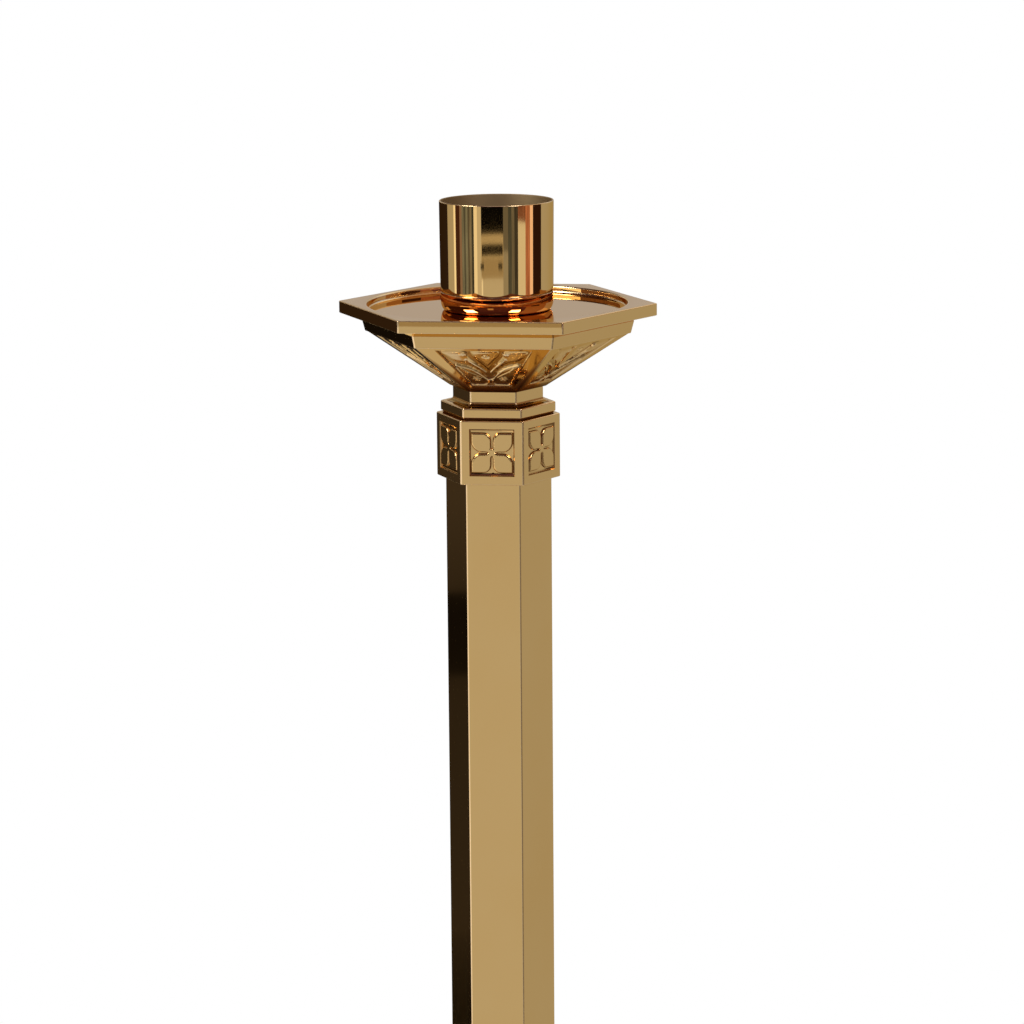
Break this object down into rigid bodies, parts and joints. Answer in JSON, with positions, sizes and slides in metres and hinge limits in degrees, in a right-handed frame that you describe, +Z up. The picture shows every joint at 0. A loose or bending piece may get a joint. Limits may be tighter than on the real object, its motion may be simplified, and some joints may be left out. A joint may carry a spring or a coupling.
{
  "type": "paschal candlestick",
  "caption": "Tall hexagonal brass candlestick with a stepped weighted base, leaf-panelled flared capital, drip pan and a round screw-on candle socket.",
  "frame": {"origin": "on the floor, at the centre of the base's underside", "axes": "+Z up along the column, -Y the front flat of the hexagon, +X to the right seen from the front"},
  "size_m": [0.33, 0.2858, 1.119],
  "materials": {
    "polished_brass": "polished and lacquered",
    "cast_brass": "cast, then polished on its flat faces",
    "plain_steel": "plain zinc-plated steel",
    "grey_iron": "raw grey iron casting",
    "green_felt": "pressed wool felt",
    "brown_fibre": "vulcanised fibre"
  },
  "bodies": {
    "stand": {"felt_pad": "green_felt", "bottom_plate": "plain_steel", "plate_screw_1": "plain_steel", "plate_screw_2": "plain_steel", "plate_screw_3": "plain_steel", "ballast_weight": "grey_iron", "base_plinth": "cast_brass", "base_skirt": "cast_brass", "base_neck": "cast_brass", "base_moulding": "cast_brass", "lower_collar": "cast_brass", "column_tube": "polished_brass", "lower_column_plug": "cast_brass", "upper_column_plug": "cast_brass", "upper_collar": "cast_brass", "cap_moulding": "cast_brass", "capital_neck": "cast_brass", "capital": "cast_brass", "tie_rod": "plain_steel", "bottom_nut": "plain_steel", "bottom_washer": "plain_steel", "column_washer": "plain_steel", "column_nut": "plain_steel"},
    "drip_pan": {"drip_pan": "polished_brass"},
    "socket_washer": {"socket_washer": "brown_fibre"},
    "socket": {"socket_base": "polished_brass", "socket_bush": "cast_brass", "socket_tube": "polished_brass"}
  },
  "joints": [
    {"name": "drip_pan_lift", "type": "slide", "parent": "stand", "child": "drip_pan", "axis": [0, 0, 1], "range_m": [0, 0.03]},
    {"name": "socket_lift", "type": "slide", "parent": "drip_pan", "child": "socket_washer", "axis": [0, 0, 1], "range_m": [0, 0.0123]},
    {"name": "socket_turn", "type": "hinge", "parent": "socket_washer", "child": "socket", "pos_m": [0, 0, 1.058], "axis": [0, 0, 1], "range_deg": [0, 2520]}
  ],
  "couplings": [
    {"joint": "socket_lift", "follows": "socket_turn", "m_per_rad": 0.00027852}
  ]
}
